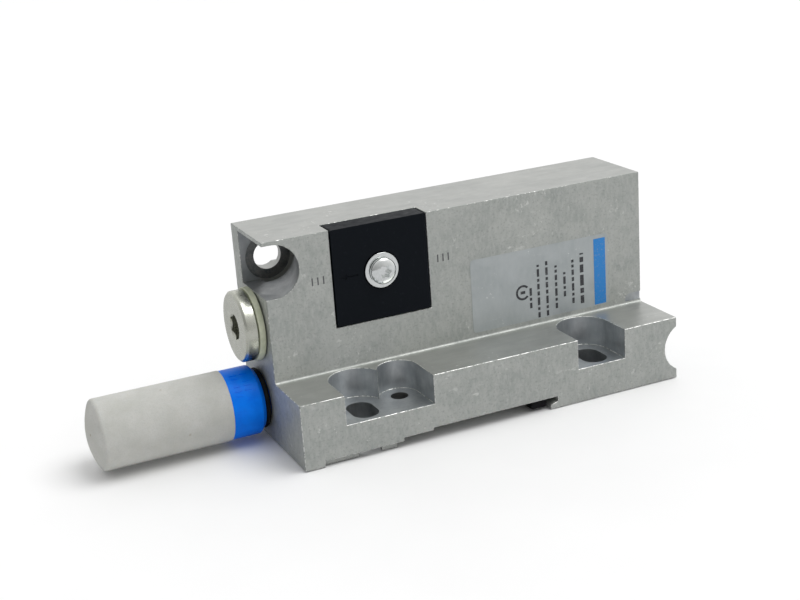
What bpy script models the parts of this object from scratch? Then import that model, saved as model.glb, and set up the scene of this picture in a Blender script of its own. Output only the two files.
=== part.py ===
"""End plate of a pneumatic valve terminal, with its muffler, blanking plug and pilot air selector.

The block is drawn in millimetres in its own corner system: X runs along its length from the left
end face, Y from the front of the ledge to the back face, Z up from the resting plane. place() moves
a point of that system to the world, whose origin is the bottom centre of the whole part.
"""
import math

import bmesh
import bpy
from mathutils import Matrix, Vector

MM = 0.001
GAP = 0.3                      # clearance between neighbouring pieces
PAST = 1.0                     # how far a cutter runs out of the material
WELD = 1e-6                    # merge distance in metres

# Block
LENGTH = 107.3
DEPTH = 39.5
HEIGHT = 53.5
WALL_FRONT = 16.8              # front face of the upright wall
LEDGE_TOP = 17.1
EDGE = 0.35                    # rounding of the cast edges

# Ports in the left end face, G1/4 parallel thread
PORT_Y = 28.15
PORT_BORE = 13.157 / 2
SPIGOT = 12.3 / 2              # drawn at the pitch diameter
MUFFLER_Z = 9.96
PLUG_Z = 30.0
MUFFLER_PORT_DEPTH = 13.0
PLUG_PORT_DEPTH = 12.0
EXHAUST_DUCT = 9.0 / 2
EXHAUST_END = 96.0
SUPPLY_DUCT = 8.0 / 2
SUPPLY_END = 80.0

# Muffler
MUFFLER_TIP = -45.4
BAND_RADIUS = 8.9
ELEMENT_RADIUS = 9.1
ELEMENT_DOME = 19.0            # radius of the cup's domed end
ELEMENT_RIM = 1.1              # radius where the dome turns into the side
ELEMENT_SHOULDER = -10.5       # where the porous cup ends and the blue band starts
BAND_END = -2.0
BAND_CHAMFER = 1.0
CUP_WALL = 2.5
STEM_RADIUS = 6.3              # stub of the base inside the cup
STEM_TIP = -17.0
MUFFLER_BORE = 4.3
SPIGOT_END = 9.5
SPIGOT_CHAMFER = 0.6

# Blanking plug
PLUG_HEAD = 18.2 / 2
PLUG_FACE = -5.3
PLUG_HEAD_BACK = -2.2
PLUG_CHAMFER = 0.5
SEAL_RADIUS = 18.9 / 2
PLUG_END = 9.0
PLUG_SOCKET_FLATS = 6.0
PLUG_SOCKET_DEPTH = 5.5

# Selector
PLATE_LEFT = 17.5
PLATE_RIGHT = 43.9
PLATE_BOTTOM = 28.2
PLATE_BACK = 22.95             # floor of the recess in the wall
PLATE_PROUD = 0.3
PLATE_MARK_Z = 40.9
SCREW_X = (PLATE_LEFT + PLATE_RIGHT) / 2
SCREW_Z = 41.0
SCREW_HEAD = 6.85 / 2
SCREW_HEAD_HEIGHT = 2.0
SCREW_RIM = 0.5                # upright edge under the domed head
SCREW_SHANK = 3.5 / 2
SCREW_TIP = 33.0
SCREW_CHAMFER = 0.5
SCREW_BORE = 4.2 / 2
SOCKET_LOBES = 6
SOCKET_RADIUS = 1.75
SOCKET_LOBE_RADIUS = 0.42
SOCKET_DEPTH = 1.5
WASHER_RADIUS = 9.1 / 2
WASHER_THICKNESS = 0.8
GASKET_HALF = 9.8
GASKET_THICKNESS = 1.6
GASKET_CORNER = 2.0
GASKET_SLOT = (50.0, -62.0)    # angles between which the slot bends round the screw
PILOT_PORT = 3.2 / 2
PILOT_OFFSET_X = 5.6           # internal port from the screw; the external one lies opposite
PILOT_OFFSET_Z = 7.4
CONTROL_OFFSET = 5.4           # port of the pilot duct, from the screw
CONTROL_ANGLE = 30.0

# Pocket for a tie screw, high at the left end; its round end leans to the right towards the floor
TIE_X = 7.45
TIE_Z = 44.7
TIE_FRONT_X = 2.3
TIE_POCKET_Z = 45.7
TIE_RADIUS = 6.8
TIE_FLOOR = 34.5
TIE_FACE_RADIUS = 6.15
TIE_FACE_DEPTH = 0.8
TIE_FACE_REACH = 1.2           # how far the spot face's tool also cut the pocket's side
TIE_HOLE = 7.3 / 2
TIE_BACK = ((2.0, 37.2, 41.8), (12.9, 47.6))    # recess behind the hole: corner, right and top

# Pockets and slots for rail clamp screws in the ledge: centre x, centre y, radius, floor height
LEDGE_POCKETS = {
    "ledge_pocket_left": (18.5, 9.2, 6.9, 9.4),
    "ledge_pocket_small": (30.15, 9.9, 5.2, 9.4),
    "ledge_pocket_right": (84.0, 8.9, 7.1, 9.1),
}
CLAMP_SLOTS = {"clamp_slot_left": (18.6, 6.8), "clamp_slot_right": (84.6, 6.8)}
CLAMP_SLOT_RADIUS = 6.9 / 2
CLAMP_SLOT_LENGTH = 10.4
SMALL_HOLE = 4.5 / 2

# Half-round notch in the right end
NOTCH_X = 110.4
NOTCH_Z = 8.5
NOTCH_RADIUS = 6.75

# Underside: rail channel with a hook, and two lugs under the left part
CHANNEL_LEFT = 26.4
CHANNEL_SHOULDER = 34.6        # left of this the channel is shallower
CHANNEL_RIGHT = 70.4
CHANNEL_TOP = 3.1
SHOULDER_TOP = 2.45
HOOK_TIP = 68.3
HOOK_TOP = 1.8
HOOK_TIP_TOP = 1.2
FOOT_RIGHT = 5.2
STEP_TOP = 1.5
LUG_FRONT = 1.1
LUGS = ((5.2, 14.5), (20.7, 24.8))
PAD = ((63.2, 1.2, 0.55), (67.6, 30.0, 2.7))

# Openings in the back face: left, right, bottom, top of each, and the groove round it
BACK_DUCTS = {
    "supply": (52.0, 78.0, 26.6, 33.4),
    "exhaust": (56.0, 92.0, 6.9, 13.0),
}
CORNER = 0.45                  # corner radius of an opening as a share of its height
SEAL_SPACE = 1.2               # land between opening and groove
PILOT_SEAL_SPACE = 0.6
GROOVE_WIDTH = 1.8
GROOVE_DEPTH = 1.3
SEAL_PROUD = 0.3

# Label
LABEL = ((55.5, 18.6), (97.0, 38.5))
LABEL_CORNER = 1.0
FILM = 0.15

# Dark as-cast recess at the right end of the wall
CAST_RECESS = (102.3, 20.0, 1.7, 0.5)

CENTRE_X = (MUFFLER_TIP + LENGTH) / 2
CENTRE_Y = (DEPTH + SEAL_PROUD) / 2

NAME = "pneumatic_end_plate_with_muffler"

FINISHES = {
    # name: colour, roughness, metallic
    "cast_aluminium": ((0.42, 0.43, 0.41), 0.5, 0.9),
    "black_plastic": ((0.012, 0.016, 0.022), 0.5, 0.0),
    "rubber": ((0.015, 0.015, 0.015), 0.75, 0.0),
    "zinc_steel": ((0.72, 0.73, 0.72), 0.2, 1.0),
    "passivated_steel": ((0.50, 0.50, 0.44), 0.35, 1.0),
    "seal_polymer": ((0.52, 0.53, 0.40), 0.5, 0.0),
    "blue_plastic": ((0.0, 0.13, 0.75), 0.35, 0.0),
    "porous_polymer": ((0.50, 0.50, 0.47), 0.85, 0.0),
    "clear_film": ((0.55, 0.58, 0.60), 0.15, 0.0),
}


# ---------------------------------------------------------------- helpers

def place(x, y, z):
    """World position, in metres, of a point given in the block's own millimetres."""
    return Vector(((x - CENTRE_X) * MM, (y - CENTRE_Y) * MM, z * MM))


def new_collection(name):
    made = bpy.data.collections.new(name)
    bpy.context.scene.collection.children.link(made)
    return made


def clear_scene():
    for old in list(bpy.data.objects):
        bpy.data.objects.remove(old, do_unlink=True)


def finish_material(name):
    material = bpy.data.materials.get(name)
    if material is None:
        colour, roughness, metallic = FINISHES[name]
        material = bpy.data.materials.new(name)
        material.use_nodes = True
        shader = material.node_tree.nodes["Principled BSDF"]
        shader.inputs["Base Color"].default_value = (*colour, 1.0)
        shader.inputs["Roughness"].default_value = roughness
        shader.inputs["Metallic"].default_value = metallic
        material.diffuse_color = (*colour, 1.0)
    return material


def add_object(name, mesh, matrix, finish=None):
    """A piece with a finish goes in the part's collection, one without is a cutter."""
    made = bpy.data.objects.new(name, mesh)
    made.matrix_world = matrix
    if finish:
        mesh.materials.append(finish_material(finish))
        PIECES.objects.link(made)
    else:
        made.hide_render = True
        made.display_type = "WIRE"
        CUTTERS.objects.link(made)
    return made


def turn_to(axis):
    """Rotation that lays local Z along X, along Y backwards, or leaves it along Z."""
    if axis == "X":
        return Matrix(((0, 0, 1), (1, 0, 0), (0, 1, 0))).to_4x4()
    if axis == "Y":
        return Matrix(((1, 0, 0), (0, 0, -1), (0, 1, 0))).to_4x4()
    return Matrix.Identity(4)


def box(name, low, high, finish=None):
    mesh = bpy.data.meshes.new(name)
    shape = bmesh.new()
    bmesh.ops.create_cube(shape, size=1.0)
    size = [(high[i] - low[i]) * MM for i in range(3)]
    bmesh.ops.scale(shape, vec=size, verts=shape.verts)
    shape.to_mesh(mesh)
    shape.free()
    middle = place(*[(low[i] + high[i]) / 2 for i in range(3)])
    return add_object(name, mesh, Matrix.Translation(middle), finish)


def cylinder(name, axis, centre, radius, start, end, segments=40, finish=None):
    """Round bar along X, Y or Z; centre gives its two other coordinates in that order."""
    mesh = bpy.data.meshes.new(name)
    shape = bmesh.new()
    bmesh.ops.create_cone(shape, cap_ends=True, segments=segments, radius1=radius * MM,
                          radius2=radius * MM, depth=(end - start) * MM)
    shape.to_mesh(mesh)
    shape.free()
    mesh.shade_smooth()
    mesh.set_sharp_from_angle(angle=math.radians(40))
    middle = list(centre)
    middle.insert("XYZ".index(axis), (start + end) / 2)
    return add_object(name, mesh, Matrix.Translation(place(*middle)) @ turn_to(axis), finish)


def extruded(name, axis, outlines, start, end, finish=None):
    """Flat closed outlines pushed along an axis; points are the other two coordinates in order."""
    curve = bpy.data.curves.new(name + "_outline", "CURVE")
    curve.dimensions = "2D"
    curve.fill_mode = "BOTH"
    curve.extrude = (end - start) / 2 * MM
    flat = [(u, v) for outline in outlines for u, v in outline]
    middle_u = (min(u for u, v in flat) + max(u for u, v in flat)) / 2
    middle_v = (min(v for u, v in flat) + max(v for u, v in flat)) / 2
    for outline in outlines:
        spline = curve.splines.new("POLY")
        spline.points.add(len(outline) - 1)
        for point, (u, v) in zip(spline.points, outline):
            point.co = ((u - middle_u) * MM, (v - middle_v) * MM, 0.0, 1.0)
        spline.use_cyclic_u = True
    guide = bpy.data.objects.new(name + "_outline", curve)
    middle = [middle_u, middle_v]
    middle.insert("XYZ".index(axis), (start + end) / 2)
    guide.matrix_world = Matrix.Translation(place(*middle)) @ turn_to(axis)
    CUTTERS.objects.link(guide)
    bpy.context.view_layer.update()
    ready = guide.evaluated_get(bpy.context.evaluated_depsgraph_get())
    mesh = bpy.data.meshes.new_from_object(ready)
    shape = bmesh.new()
    shape.from_mesh(mesh)
    bmesh.ops.remove_doubles(shape, verts=shape.verts, dist=WELD)
    bmesh.ops.recalc_face_normals(shape, faces=shape.faces)
    shape.to_mesh(mesh)
    shape.free()
    mesh.materials.clear()
    made = add_object(name, mesh, guide.matrix_world.copy(), finish)
    bpy.data.objects.remove(guide, do_unlink=True)
    return made


def turned(name, profile, centre, finish, steps=48, axis="X"):
    """Round piece: (radius, place along the axis) from the outer end towards the block.

    The profile lies at +X and runs down the outer side, so local Z points away from the block:
    along -X for the pieces in the end face and along -Y for those in the wall.
    """
    origin = profile[0][1]
    mesh = bpy.data.meshes.new(name)
    shape = bmesh.new()
    points = [shape.verts.new((radius * MM, 0.0, (origin - along) * MM)) for radius, along in profile]
    for first, second in zip(points, points[1:]):
        shape.edges.new((first, second))
    if profile[0][0] > 0:
        shape.edges.new((points[-1], points[0]))
    shape.to_mesh(mesh)
    shape.free()
    middle = list(centre)
    middle.insert("XYZ".index(axis), origin)
    if axis == "X":
        turn = Matrix(((0, 0, -1), (0, 1, 0), (1, 0, 0))).to_4x4()
    else:
        turn = turn_to("Y")
    made = add_object(name, mesh, Matrix.Translation(place(*middle)) @ turn, finish)
    screw = made.modifiers.new("turn", "SCREW")
    screw.steps = steps
    screw.render_steps = steps
    screw.use_merge_vertices = True
    screw.merge_threshold = WELD
    screw.use_smooth_shade = True
    return made


def boolean(target, other, operation="DIFFERENCE"):
    step = target.modifiers.new(other.name, "BOOLEAN")
    step.object = other
    step.operation = operation
    step.solver = "EXACT"


def arc(centre_u, centre_v, radius, first, last, steps=16):
    angles = [math.radians(first + (last - first) * i / steps) for i in range(steps + 1)]
    return [(centre_u + radius * math.cos(a), centre_v + radius * math.sin(a)) for a in angles]


def rounded_box(left, right, bottom, top, radius=None, steps=5):
    radius = radius or CORNER * (top - bottom)
    corners = ((right - radius, top - radius, 0), (left + radius, top - radius, 90),
               (left + radius, bottom + radius, 180), (right - radius, bottom + radius, 270))
    return [point for u, v, start in corners for point in arc(u, v, radius, start, start + 90, steps)]


def grown(frame, by):
    left, right, bottom, top = frame
    return left - by, right + by, bottom - by, top + by


# ---------------------------------------------------------------- housing

def make_housing():
    profile = [(0, 0), (DEPTH, 0), (DEPTH, HEIGHT), (WALL_FRONT, HEIGHT),
               (WALL_FRONT, LEDGE_TOP), (0, LEDGE_TOP)]
    housing = extruded("housing", "X", [profile], 0, LENGTH, "cast_aluminium")
    edges = housing.modifiers.new("edges", "BEVEL")
    edges.width = EDGE * MM
    edges.segments = 1
    edges.limit_method = "ANGLE"
    edges.angle_limit = math.radians(40)
    for cutter in (selector_cutters() + tie_pocket_cutters() + ledge_cutters() + underside_cutters()
                   + port_cutters() + back_cutters() + cast_recess_cutters()):
        boolean(housing, cutter)
    return housing


def selector_cutters():
    low = (PLATE_LEFT, WALL_FRONT - PAST, PLATE_BOTTOM)
    high = (PLATE_RIGHT, PLATE_BACK, HEIGHT + PAST)
    cutters = [box("cut_selector_recess", low, high)]
    cutters.append(cylinder("cut_selector_thread", "Y", (SCREW_X, SCREW_Z), SCREW_BORE,
                            PLATE_BACK - PAST, SCREW_TIP + PAST, 24))
    ends = {"internal": PORT_Y - PAST, "external": DEPTH + PAST, "control": DEPTH + PAST}
    for name, centre in pilot_ports().items():
        cutters.append(cylinder("cut_port_" + name, "Y", centre, PILOT_PORT,
                                PLATE_BACK - PAST, ends[name], 20))
    return cutters


def pilot_ports():
    """Ports in the recess floor: pilot air from inside, from outside, and on to the valves."""
    angle = math.radians(CONTROL_ANGLE)
    return {
        "internal": (SCREW_X + PILOT_OFFSET_X, SCREW_Z - PILOT_OFFSET_Z),
        "external": (SCREW_X - PILOT_OFFSET_X, SCREW_Z + PILOT_OFFSET_Z),
        "control": (SCREW_X + CONTROL_OFFSET * math.cos(angle),
                    SCREW_Z + CONTROL_OFFSET * math.sin(angle)),
    }


def tie_pocket_cutters():
    front = WALL_FRONT - PAST
    lean = (TIE_X - TIE_FRONT_X) / (TIE_FLOOR - WALL_FRONT)
    middle_x = TIE_X - lean * (TIE_FLOOR - front) / 2
    open_left = -4 * TIE_RADIUS
    outline = arc(middle_x, TIE_POCKET_Z, TIE_RADIUS, -90, 90, 20)
    outline += [(open_left, TIE_POCKET_Z + TIE_RADIUS), (open_left, TIE_POCKET_Z - TIE_RADIUS)]
    pocket = extruded("cut_tie_pocket", "Y", [outline], front, TIE_FLOOR)
    pocket.data.transform(Matrix.Shear("XY", 4, (-lean, 0.0)))
    face = cylinder("cut_tie_spot_face", "Y", (TIE_X, TIE_Z), TIE_FACE_RADIUS,
                    TIE_FLOOR - TIE_FACE_REACH, TIE_FLOOR + TIE_FACE_DEPTH)
    hole = cylinder("cut_tie_hole", "Y", (TIE_X, TIE_Z), TIE_HOLE, TIE_FLOOR - PAST, DEPTH + PAST, 32)
    low, (right, top) = TIE_BACK
    recess = box("cut_tie_back", low, (right, DEPTH + PAST, top))
    return [pocket, face, hole, recess]


def ledge_cutters():
    cutters = []
    for name, (x, y, radius, floor) in LEDGE_POCKETS.items():
        outline = arc(x, y, radius, 0, 180, 20) + [(x - radius, -PAST), (x + radius, -PAST)]
        cutters.append(extruded("cut_" + name, "Z", [outline], floor, LEDGE_TOP + PAST))
    reach = CLAMP_SLOT_LENGTH / 2 - CLAMP_SLOT_RADIUS
    for name, (x, y) in CLAMP_SLOTS.items():
        outline = arc(x, y + reach, CLAMP_SLOT_RADIUS, 0, 180, 12)
        outline += arc(x, y - reach, CLAMP_SLOT_RADIUS, 180, 360, 12)
        cutters.append(extruded("cut_" + name, "Z", [outline], -PAST, LEDGE_TOP))
    x, y = LEDGE_POCKETS["ledge_pocket_small"][:2]
    cutters.append(cylinder("cut_small_hole", "Z", (x, y), SMALL_HOLE, -PAST, LEDGE_TOP, 24))
    cutters.append(cylinder("cut_end_notch", "Y", (NOTCH_X, NOTCH_Z), NOTCH_RADIUS,
                            -PAST, DEPTH + PAST, 48))
    return cutters


def underside_cutters():
    channel = [(CHANNEL_LEFT, -PAST), (HOOK_TIP, -PAST), (HOOK_TIP, HOOK_TIP_TOP),
               (CHANNEL_RIGHT, HOOK_TOP), (CHANNEL_RIGHT, CHANNEL_TOP),
               (CHANNEL_SHOULDER, CHANNEL_TOP), (CHANNEL_SHOULDER, SHOULDER_TOP),
               (CHANNEL_LEFT, SHOULDER_TOP)]
    cutters = [extruded("cut_rail_channel", "Y", [channel], -PAST, DEPTH + PAST)]
    back = DEPTH + PAST
    overlap = CHANNEL_LEFT + PAST
    steps = {"front": ((FOOT_RIGHT, -PAST), (overlap, LUG_FRONT)),
             "middle": ((LUGS[0][1], -PAST), (LUGS[1][0], back)),
             "right": ((LUGS[1][1], -PAST), (overlap, back))}
    for name, ((left, front), (right, rear)) in steps.items():
        cutters.append(box("cut_foot_" + name, (left, front, -PAST), (right, rear, STEP_TOP)))
    return cutters


def port_cutters():
    return [
        cylinder("cut_plug_port", "X", (PORT_Y, PLUG_Z), PORT_BORE, -PAST, PLUG_PORT_DEPTH),
        cylinder("cut_supply_duct", "X", (PORT_Y, PLUG_Z), SUPPLY_DUCT, -PAST, SUPPLY_END, 32),
        cylinder("cut_muffler_port", "X", (PORT_Y, MUFFLER_Z), PORT_BORE, -PAST, MUFFLER_PORT_DEPTH),
        cylinder("cut_exhaust_duct", "X", (PORT_Y, MUFFLER_Z), EXHAUST_DUCT, -PAST, EXHAUST_END, 32),
    ]


def seal_frames():
    """Opening of each seal's groove, as left, right, bottom, top."""
    frames = {name: grown(frame, SEAL_SPACE) for name, frame in BACK_DUCTS.items()}
    for name in ("external", "control"):
        x, z = pilot_ports()[name]
        frames[name] = grown((x, x, z, z), PILOT_PORT + PILOT_SEAL_SPACE)
    return frames


def back_cutters():
    cutters = []
    for name, (left, right, bottom, top) in BACK_DUCTS.items():
        outline = rounded_box(left, right, bottom, top)
        cutters.append(extruded("cut_back_" + name, "Y", [outline], PORT_Y + PAST, DEPTH + PAST))
    for name, frame in seal_frames().items():
        outlines = [rounded_box(*grown(frame, GROOVE_WIDTH)), rounded_box(*frame)]
        cutters.append(extruded("cut_groove_" + name, "Y", outlines,
                                DEPTH - GROOVE_DEPTH, DEPTH + PAST))
    return cutters


def cast_recess_cutters():
    left, top, radius, depth = CAST_RECESS
    bottom = LEDGE_TOP + 2 * EDGE
    outline = [(left, bottom), (LENGTH + PAST, bottom), (LENGTH + PAST, top)]
    outline += arc(left + radius, top - radius, radius, 90, 180, 6)
    return [extruded("cut_cast_recess", "Y", [outline], WALL_FRONT - PAST, WALL_FRONT + depth)]


def make_duct_seals():
    for name, frame in seal_frames().items():
        outlines = [rounded_box(*grown(frame, GROOVE_WIDTH - GAP)), rounded_box(*grown(frame, GAP))]
        extruded("duct_seal_" + name, "Y", outlines, DEPTH - GROOVE_DEPTH + GAP, DEPTH + SEAL_PROUD,
                 "rubber")


def make_rail_pad():
    low, high = PAD
    pad = box("rail_pad", low, high, "rubber")
    edges = pad.modifiers.new("edges", "BEVEL")
    edges.width = EDGE * MM
    edges.segments = 2


def make_rating_label():
    (left, bottom), (right, top) = LABEL
    back = WALL_FRONT - GAP
    extruded("rating_label", "Y", [rounded_box(left, right, bottom, top, LABEL_CORNER)], back - FILM, back,
             "clear_film")


# ---------------------------------------------------------------- selector

def make_selector_plate():
    front = WALL_FRONT - PLATE_PROUD
    low = (PLATE_LEFT + GAP, front, PLATE_BOTTOM + GAP)
    high = (PLATE_RIGHT - GAP, PLATE_BACK - GAP, HEIGHT)
    plate = box("selector_plate", low, high, "black_plastic")
    edges = plate.modifiers.new("edges", "BEVEL")
    edges.width = EDGE * MM
    edges.segments = 2
    boolean(plate, cylinder("cut_plate_bore", "Y", (SCREW_X, SCREW_Z), SCREW_BORE,
                            front - PAST, PLATE_BACK + PAST, 32))
    boolean(plate, cylinder("cut_plate_counterbore", "Y", (SCREW_X, SCREW_Z), WASHER_RADIUS + GAP,
                            front - PAST, front + WASHER_THICKNESS, 40))
    half = GASKET_HALF + GAP
    low = (SCREW_X - half, PLATE_BACK - GASKET_THICKNESS - GAP, SCREW_Z - half)
    high = (SCREW_X + half, PLATE_BACK + PAST, SCREW_Z + half)
    boolean(plate, box("cut_gasket_pocket", low, high))
    boolean(plate, arrow("cut_plate_arrow", front))


def arrow(name, front):
    """Sunk mark that points left, to the setting in use."""
    left = PLATE_LEFT + 2.0
    right = left + 4.8
    neck = left + 1.9
    half_line = 0.25
    half_head = 0.9
    outline = [(left, PLATE_MARK_Z), (neck, PLATE_MARK_Z - half_head),
               (neck, PLATE_MARK_Z - half_line), (right, PLATE_MARK_Z - half_line),
               (right, PLATE_MARK_Z + half_line), (neck, PLATE_MARK_Z + half_line),
               (neck, PLATE_MARK_Z + half_head)]
    return extruded(name, "Y", [outline], front - PAST, front + GAP)


def make_selector_gasket():
    """Rubber square with the screw hole and a bent slot from the pilot duct to the internal port."""
    square = rounded_box(SCREW_X - GASKET_HALF, SCREW_X + GASKET_HALF,
                         SCREW_Z - GASKET_HALF, SCREW_Z + GASKET_HALF, GASKET_CORNER)
    back = PLATE_BACK - GAP
    gasket = extruded("selector_gasket", "Y", [square], back - GASKET_THICKNESS + GAP, back, "rubber")
    boolean(gasket, cylinder("cut_gasket_bore", "Y", (SCREW_X, SCREW_Z), SCREW_BORE + GAP,
                             WALL_FRONT, PLATE_BACK + PAST, 32))
    outer = CONTROL_OFFSET + PILOT_PORT
    inner = CONTROL_OFFSET - PILOT_PORT
    first, last = GASKET_SLOT
    slot = arc(SCREW_X, SCREW_Z, outer, first, last, 16) + arc(SCREW_X, SCREW_Z, inner, last, first, 16)
    boolean(gasket, extruded("cut_gasket_slot", "Y", [slot], WALL_FRONT, PLATE_BACK + PAST))
    internal = pilot_ports()["internal"]
    boolean(gasket, cylinder("cut_gasket_port", "Y", internal, PILOT_PORT + GAP,
                             WALL_FRONT, PLATE_BACK + PAST, 24))


def washer_front():
    return WALL_FRONT - PLATE_PROUD - GAP


def make_selector_washer():
    front = washer_front()
    back = front + WASHER_THICKNESS
    inner = SCREW_SHANK + GAP
    profile = [(inner, front), (WASHER_RADIUS, front), (WASHER_RADIUS, back), (inner, back)]
    turned("selector_washer", profile, (SCREW_X, SCREW_Z), "zinc_steel", 40, "Y")


def make_selector_screw():
    seat = washer_front() - GAP
    top = seat - SCREW_HEAD_HEIGHT
    rise = SCREW_HEAD_HEIGHT - SCREW_RIM
    dome = [(SCREW_HEAD * math.sin(a), seat - SCREW_RIM - rise * math.cos(a))
            for a in (math.radians(90 * i / 6) for i in range(7))]
    profile = dome + [(SCREW_HEAD, seat), (SCREW_SHANK, seat),
                      (SCREW_SHANK, SCREW_TIP - SCREW_CHAMFER),
                      (SCREW_SHANK - SCREW_CHAMFER, SCREW_TIP), (0, SCREW_TIP)]
    profile[0] = (0, top)
    screw = turned("selector_screw", profile, (SCREW_X, SCREW_Z), "zinc_steel", 32, "Y")
    outline = [(SCREW_X + lobe_radius(a) * math.cos(a), SCREW_Z + lobe_radius(a) * math.sin(a))
               for a in (math.tau * i / 36 for i in range(36))]
    boolean(screw, extruded("cut_screw_socket", "Y", [outline], top - PAST, top + SOCKET_DEPTH))


def lobe_radius(angle):
    """Radius of the six-lobe socket."""
    middle = SOCKET_RADIUS - SOCKET_LOBE_RADIUS / 2
    return middle + SOCKET_LOBE_RADIUS / 2 * math.cos(SOCKET_LOBES * angle)


# ---------------------------------------------------------------- plug and muffler

def make_blanking_plug():
    chamfer = PLUG_CHAMFER
    profile = [(0, PLUG_FACE), (PLUG_HEAD - chamfer, PLUG_FACE), (PLUG_HEAD, PLUG_FACE + chamfer),
               (PLUG_HEAD, PLUG_HEAD_BACK), (SPIGOT, PLUG_HEAD_BACK), (SPIGOT, PLUG_END - chamfer),
               (SPIGOT - chamfer, PLUG_END), (0, PLUG_END)]
    plug = turned("blanking_plug", profile, (PORT_Y, PLUG_Z), "passivated_steel")
    corner = PLUG_SOCKET_FLATS / math.sqrt(3)
    outline = [(PORT_Y + corner * math.cos(a), PLUG_Z + corner * math.sin(a))
               for a in (math.radians(90 + 60 * i) for i in range(6))]
    boolean(plug, extruded("cut_plug_socket", "X", [outline], PLUG_FACE - PAST,
                           PLUG_FACE + PLUG_SOCKET_DEPTH))


def make_plug_seal_ring():
    inner = SPIGOT + GAP
    front = PLUG_HEAD_BACK + GAP
    profile = [(inner, front), (SEAL_RADIUS, front), (SEAL_RADIUS, -GAP), (inner, -GAP)]
    turned("plug_seal_ring", profile, (PORT_Y, PLUG_Z), "seal_polymer")


def make_muffler_base():
    chamfer = SPIGOT_CHAMFER
    profile = [(MUFFLER_BORE, STEM_TIP), (STEM_RADIUS, STEM_TIP), (STEM_RADIUS, ELEMENT_SHOULDER),
               (BAND_RADIUS, ELEMENT_SHOULDER), (BAND_RADIUS, BAND_END - BAND_CHAMFER),
               (BAND_RADIUS - BAND_CHAMFER, BAND_END), (SPIGOT, BAND_END),
               (SPIGOT, SPIGOT_END - chamfer), (SPIGOT - chamfer, SPIGOT_END),
               (MUFFLER_BORE, SPIGOT_END)]
    turned("muffler_base", profile, (PORT_Y, MUFFLER_Z), "blue_plastic")


def make_muffler_element():
    """Porous cup: closed domed end outside, hollow open towards the block."""
    inner = STEM_RADIUS + GAP
    roof = MUFFLER_TIP + CUP_WALL
    profile = domed_end() + [(ELEMENT_RADIUS, ELEMENT_SHOULDER - GAP),
                             (inner, ELEMENT_SHOULDER - GAP), (inner, roof), (0, roof)]
    turned("muffler_element", profile, (PORT_Y, MUFFLER_Z), "porous_polymer")


def domed_end():
    """A shallow dome that runs smoothly into the rounded rim."""
    centre = MUFFLER_TIP + ELEMENT_DOME
    reach = ELEMENT_DOME - ELEMENT_RIM
    lean = math.asin((ELEMENT_RADIUS - ELEMENT_RIM) / reach)
    dome = [(ELEMENT_DOME * math.sin(lean * i / 4), centre - ELEMENT_DOME * math.cos(lean * i / 4))
            for i in range(4)]
    rim_radius = reach * math.sin(lean)
    rim_centre = centre - reach * math.cos(lean)
    angles = [lean + (math.radians(90) - lean) * i / 4 for i in range(5)]
    return dome + [(rim_radius + ELEMENT_RIM * math.sin(a), rim_centre - ELEMENT_RIM * math.cos(a))
                   for a in angles]


def make_muffler_o_ring():
    section = (-GAP - (BAND_END + GAP)) / 2
    middle = SPIGOT + GAP + section
    profile = [(middle + section * math.sin(a), -GAP - section - section * math.cos(a))
               for a in (math.tau * i / 10 for i in range(10))]
    turned("muffler_o_ring", profile, (PORT_Y, MUFFLER_Z), "rubber")


clear_scene()
PIECES = new_collection(NAME)
CUTTERS = new_collection("cutters")

make_housing()
make_duct_seals()
make_rail_pad()
make_rating_label()
make_selector_plate()
make_selector_gasket()
make_selector_washer()
make_selector_screw()
make_blanking_plug()
make_plug_seal_ring()
make_muffler_base()
make_muffler_element()
make_muffler_o_ring()
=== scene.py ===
"""Looks of the end plate with its muffler, blanking plug and pilot air selector.

Places inside the block are millimetres from its lower left front corner: X runs from the left end
face along the block, Y from the front of the ledge to the back face, Z up.
"""
import math

import bmesh
import bpy
from mathutils import Matrix, Vector


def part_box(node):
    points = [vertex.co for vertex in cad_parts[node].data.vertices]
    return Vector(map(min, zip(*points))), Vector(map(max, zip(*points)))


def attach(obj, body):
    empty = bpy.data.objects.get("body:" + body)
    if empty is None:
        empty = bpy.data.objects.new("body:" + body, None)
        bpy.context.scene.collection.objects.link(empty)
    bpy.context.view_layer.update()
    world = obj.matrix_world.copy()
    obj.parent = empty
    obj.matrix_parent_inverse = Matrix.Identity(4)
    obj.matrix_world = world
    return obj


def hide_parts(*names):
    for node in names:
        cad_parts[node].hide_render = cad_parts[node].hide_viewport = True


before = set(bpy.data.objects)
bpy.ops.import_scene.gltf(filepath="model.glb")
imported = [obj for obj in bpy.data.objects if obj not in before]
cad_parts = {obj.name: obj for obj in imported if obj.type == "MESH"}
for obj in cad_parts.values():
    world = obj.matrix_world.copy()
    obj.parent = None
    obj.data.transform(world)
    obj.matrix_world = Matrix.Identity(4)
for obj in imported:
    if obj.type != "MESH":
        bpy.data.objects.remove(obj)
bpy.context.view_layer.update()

MM = 0.001
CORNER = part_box("housing")[0]


def span(node):
    """Lowest and highest corner of a CAD node, in millimetres from the block's corner."""
    low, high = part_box(node)
    return (low - CORNER) / MM, (high - CORNER) / MM


BLOCK = span("housing")[1]
LENGTH, DEPTH, HEIGHT = BLOCK
PLATE_LOW, PLATE_HIGH = span("selector_plate")
CLEARANCE = 0.3                 # gap that the CAD leaves between neighbouring solids
PLATE_PROUD = 0.3               # how far the selector plate stands out of the wall
WALL_FRONT = PLATE_LOW.y + PLATE_PROUD
LEDGE_TOP = 17.1
PAST = 1.0                      # how far a cutter reaches past the face that it opens

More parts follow.
